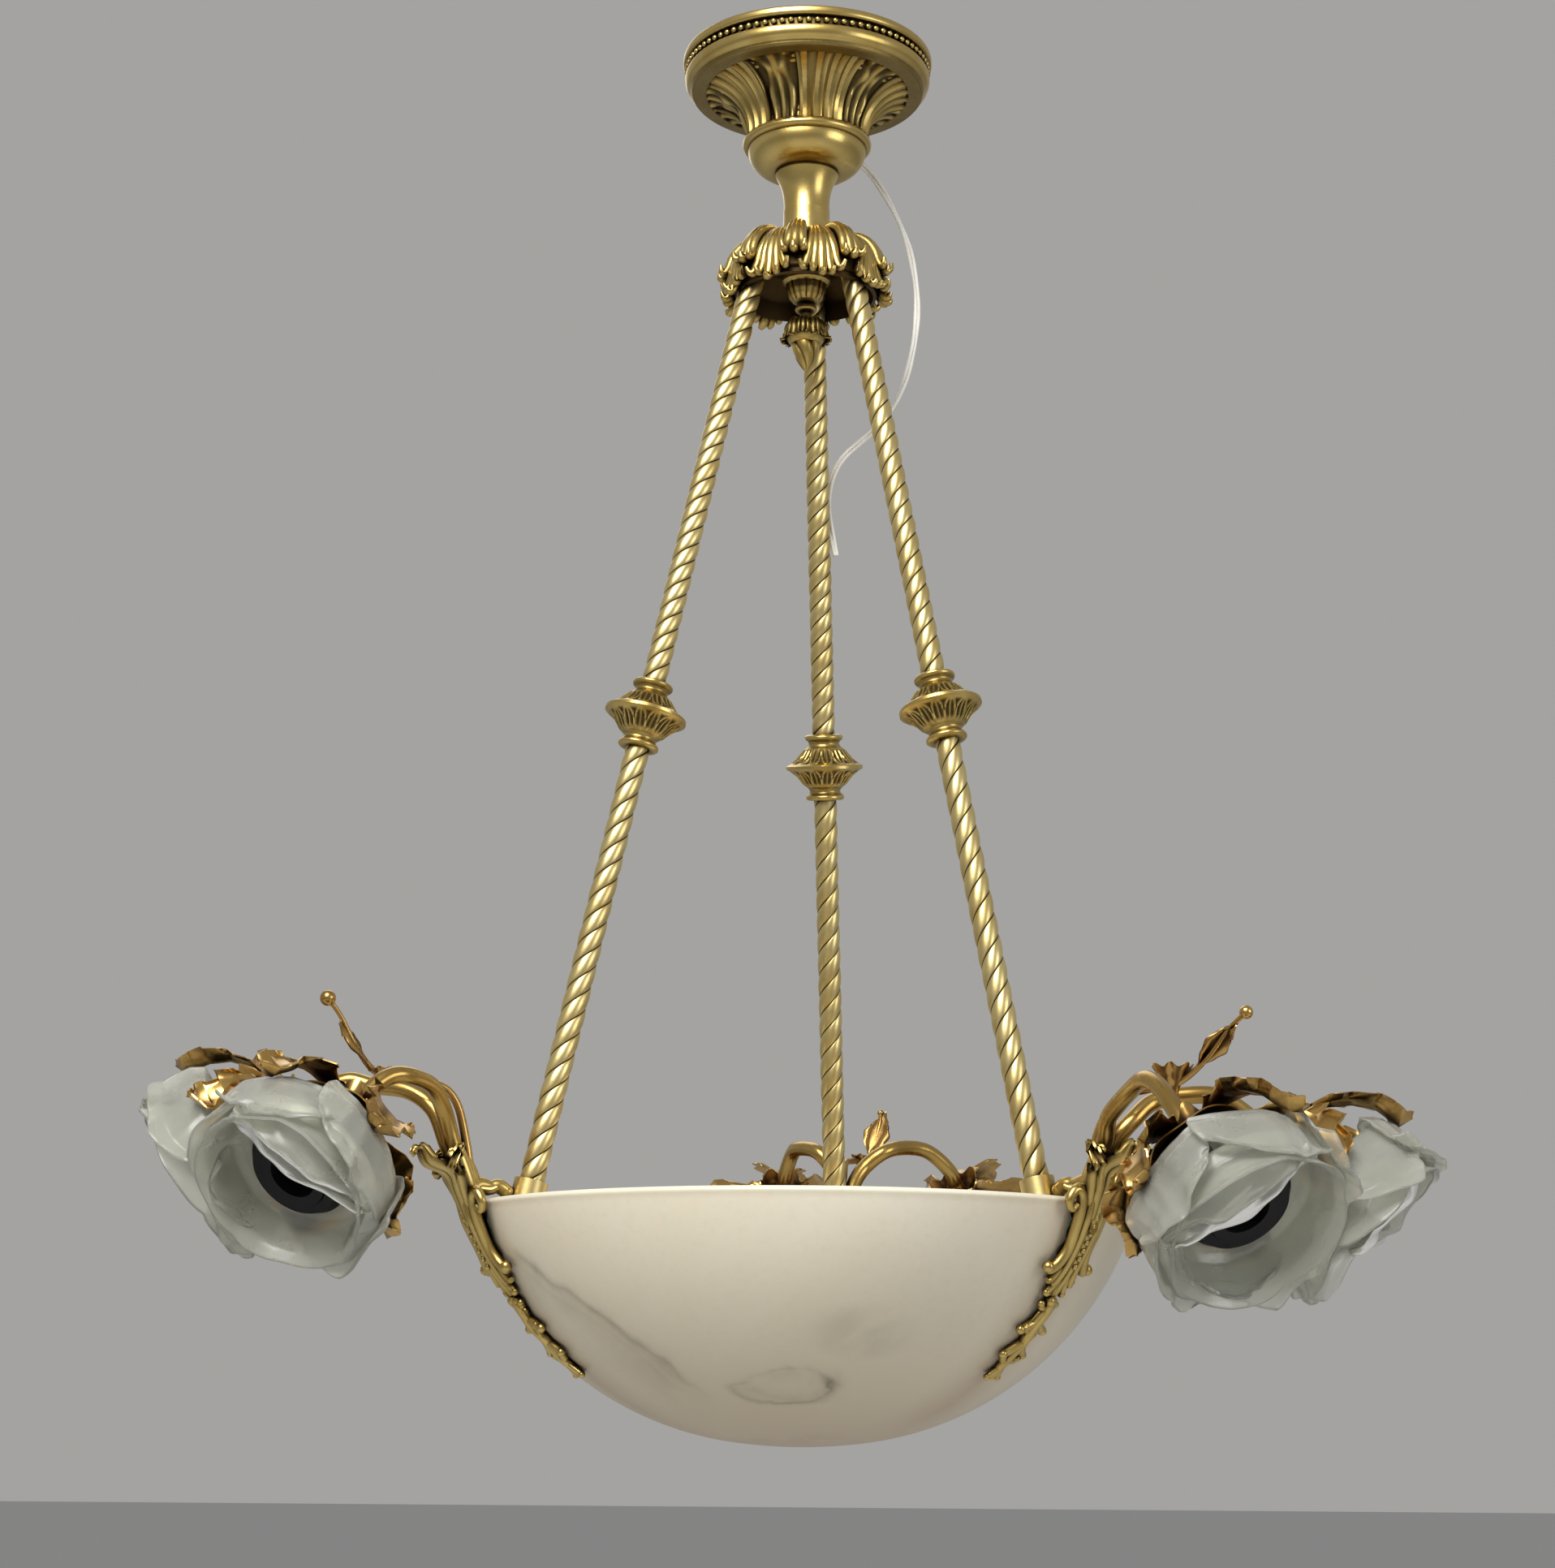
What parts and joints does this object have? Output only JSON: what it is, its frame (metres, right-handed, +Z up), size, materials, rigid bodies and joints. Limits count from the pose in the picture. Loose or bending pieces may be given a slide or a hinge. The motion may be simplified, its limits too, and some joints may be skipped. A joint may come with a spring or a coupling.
{
  "type": "hanging light",
  "caption": "Hanging light with an alabaster bowl carried by leaning rods from a crown and canopy, with bracket arms over its rim that hold downward rose shades.",
  "frame": {"origin": "centre of the hanging loop's eye, inside the canopy", "axes": "+Z up; -Y towards the viewer of the picture; +Y through the loop's eye"},
  "size_m": [0.7469, 0.7154, 0.8787],
  "materials": {
    "gilt_brass": "satin",
    "alabaster": "satin",
    "frosted_glass": "satin",
    "black_plastic": "matte",
    "white_plastic": "matte",
    "felt": "matte"
  },
  "bodies": {
    "fixture": {"stem": "gilt_brass", "centre_tube": "gilt_brass", "hanging_loop": "gilt_brass", "tube_nuts": "gilt_brass", "crown": "gilt_brass", "crown_cup": "gilt_brass", "finial": "gilt_brass", "rod_feet": "gilt_brass", "bowl": "alabaster", "bowl_pads": "felt", "rim_bolts": "gilt_brass", "rim_nuts": "gilt_brass", "holder_strips": "gilt_brass", "bowl_lampholders": "black_plastic", "drop_ornaments": "gilt_brass", "tendrils": "gilt_brass", "lampholders": "black_plastic", "upper_rod_rear": "gilt_brass", "knop_rear": "gilt_brass", "lower_rod_rear": "gilt_brass", "bracket_rear": "gilt_brass", "upper_rod_left": "gilt_brass", "knop_left": "gilt_brass", "lower_rod_left": "gilt_brass", "bracket_left": "gilt_brass", "upper_rod_right": "gilt_brass", "knop_right": "gilt_brass", "lower_rod_right": "gilt_brass", "bracket_right": "gilt_brass", "arm_rear_left": "gilt_brass", "leaf_cup_rear_left": "gilt_brass", "shade_rear_left": "frosted_glass", "arm_rear_right": "gilt_brass", "leaf_cup_rear_right": "gilt_brass", "shade_rear_right": "frosted_glass", "arm_left_front": "gilt_brass", "leaf_cup_left_front": "gilt_brass", "shade_left_front": "frosted_glass", "arm_left_back": "gilt_brass", "leaf_cup_left_back": "gilt_brass", "shade_left_back": "frosted_glass", "arm_right_front": "gilt_brass", "leaf_cup_right_front": "gilt_brass", "shade_right_front": "frosted_glass", "arm_right_back": "gilt_brass", "leaf_cup_right_back": "gilt_brass", "shade_right_back": "frosted_glass"},
    "canopy": {"canopy": "gilt_brass", "canopy_beads": "gilt_brass", "canopy_cup": "gilt_brass", "flex_bush": "white_plastic", "flex": "white_plastic", "terminal_block": "white_plastic"},
    "ring_rear_left": {"shade_ring_rear_left": "black_plastic"},
    "ring_rear_right": {"shade_ring_rear_right": "black_plastic"},
    "ring_left_front": {"shade_ring_left_front": "black_plastic"},
    "ring_left_back": {"shade_ring_left_back": "black_plastic"},
    "ring_right_front": {"shade_ring_right_front": "black_plastic"},
    "ring_right_back": {"shade_ring_right_back": "black_plastic"}
  },
  "joints": [
    {"name": "canopy_lift", "type": "slide", "parent": "fixture", "child": "canopy", "axis": [0, 0, 1], "range_m": [0, 0.018]},
    {"name": "shade_ring_rear_left_turn", "type": "hinge", "parent": "fixture", "child": "ring_rear_left", "pos_m": [-0.01765, 0.31967, -0.72696], "axis": [-0.1395, 0.6676, -0.7314], "range_deg": [0, 720]},
    {"name": "shade_ring_rear_right_turn", "type": "hinge", "parent": "fixture", "child": "ring_rear_right", "pos_m": [0.12698, 0.29883, -0.72696], "axis": [0.3223, 0.601, -0.7314], "range_deg": [0, 720]},
    {"name": "shade_ring_left_front_turn", "type": "hinge", "parent": "fixture", "child": "ring_left_front", "pos_m": [-0.2712, -0.19097, -0.71462], "axis": [-0.3928, -0.659, -0.6415], "range_deg": [0, 720]},
    {"name": "shade_ring_left_back_turn", "type": "hinge", "parent": "fixture", "child": "ring_left_back", "pos_m": [-0.33749, -0.05993, -0.69812], "axis": [-0.8187, -0.0257, -0.5736], "range_deg": [0, 720]},
    {"name": "shade_ring_right_front_turn", "type": "hinge", "parent": "fixture", "child": "ring_right_front", "pos_m": [0.21995, -0.27955, -0.73567], "axis": [0.3497, -0.6131, -0.7083], "range_deg": [0, 720]},
    {"name": "shade_ring_right_back_turn", "type": "hinge", "parent": "fixture", "child": "ring_right_back", "pos_m": [0.3, -0.13576, -0.726], "axis": [0.679, -0.1973, -0.7071], "range_deg": [0, 720]}
  ]
}
